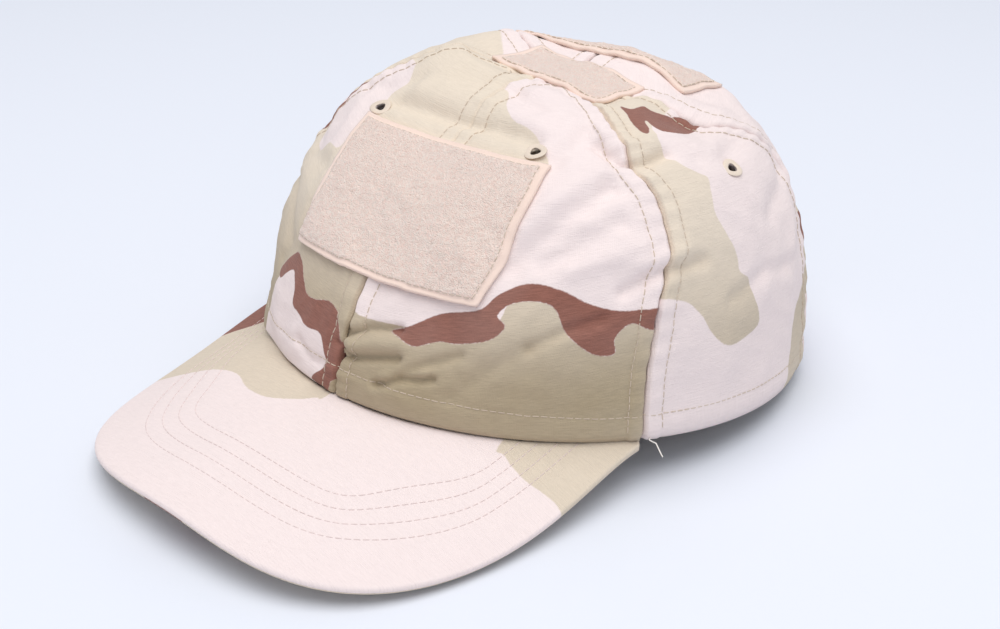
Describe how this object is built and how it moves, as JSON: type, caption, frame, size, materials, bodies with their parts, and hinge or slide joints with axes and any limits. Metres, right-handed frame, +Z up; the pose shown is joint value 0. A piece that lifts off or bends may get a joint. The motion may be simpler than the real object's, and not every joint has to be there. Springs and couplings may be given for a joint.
{
  "type": "baseball cap",
  "caption": "Soft six-panel cap in desert camouflage cloth, with a curved visor, loop patches on front, top and back, and a hook-and-loop strap at the rear.",
  "frame": {"origin": "bottom centre of the whole cap, on the surface that the visor's corners and the crown's rear edge rest on", "axes": "-Y towards the visor's rim, +X towards the wearer's left, +Z up"},
  "size_m": [0.1852, 0.2687, 0.1106],
  "materials": {
    "camo_cloth": "matt ripstop cotton with a three-colour desert print: pale pink-tan, light khaki and brown",
    "tan_thread": "satin sewing thread",
    "loop_pile": "fuzzy brushed loop pile",
    "hook_tape": "stiff hook tape",
    "khaki_twill": "matt cotton twill",
    "visor_plastic": "matt polyethylene sheet",
    "white_label": "blank woven satin label"
  },
  "bodies": {
    "cap": {"back_eyelet_left": "tan_thread", "back_eyelet_right": "tan_thread", "back_loop_patch": "loop_pile", "back_panel_left": "camo_cloth", "back_panel_right": "camo_cloth", "back_seam_tape": "khaki_twill", "back_side_seam_tape_left": "khaki_twill", "back_side_seam_tape_right": "khaki_twill", "front_eyelet_left": "tan_thread", "front_eyelet_right": "tan_thread", "front_loop_patch": "loop_pile", "front_panel_left": "camo_cloth", "front_panel_right": "camo_cloth", "front_seam_tape": "khaki_twill", "front_side_seam_tape_left": "khaki_twill", "front_side_seam_tape_right": "khaki_twill", "opening_binding": "khaki_twill", "side_eyelet_left": "tan_thread", "side_eyelet_right": "tan_thread", "side_panel_left": "camo_cloth", "side_panel_right": "camo_cloth", "size_label": "white_label", "sweatband": "khaki_twill", "top_loop_patch": "loop_pile", "visor_board": "visor_plastic", "visor_top_cover": "camo_cloth", "visor_under_cover": "camo_cloth"},
    "hook_strap_body": {"hook_strap": "camo_cloth", "hook_tape": "hook_tape"},
    "loop_strap_body": {"loop_strap": "camo_cloth", "loop_tape": "loop_pile"}
  },
  "joints": [
    {"name": "hook_strap_peel", "type": "hinge", "parent": "cap", "child": "hook_strap_body", "pos_m": [-0.03478, 0.1262, 0.01106], "axis": [0, 0, 1], "range_deg": [0, 110]},
    {"name": "loop_strap_fold", "type": "hinge", "parent": "cap", "child": "loop_strap_body", "pos_m": [0.03342, 0.12299, 0.01089], "axis": [0, 0, 1], "range_deg": [0, 60]}
  ]
}
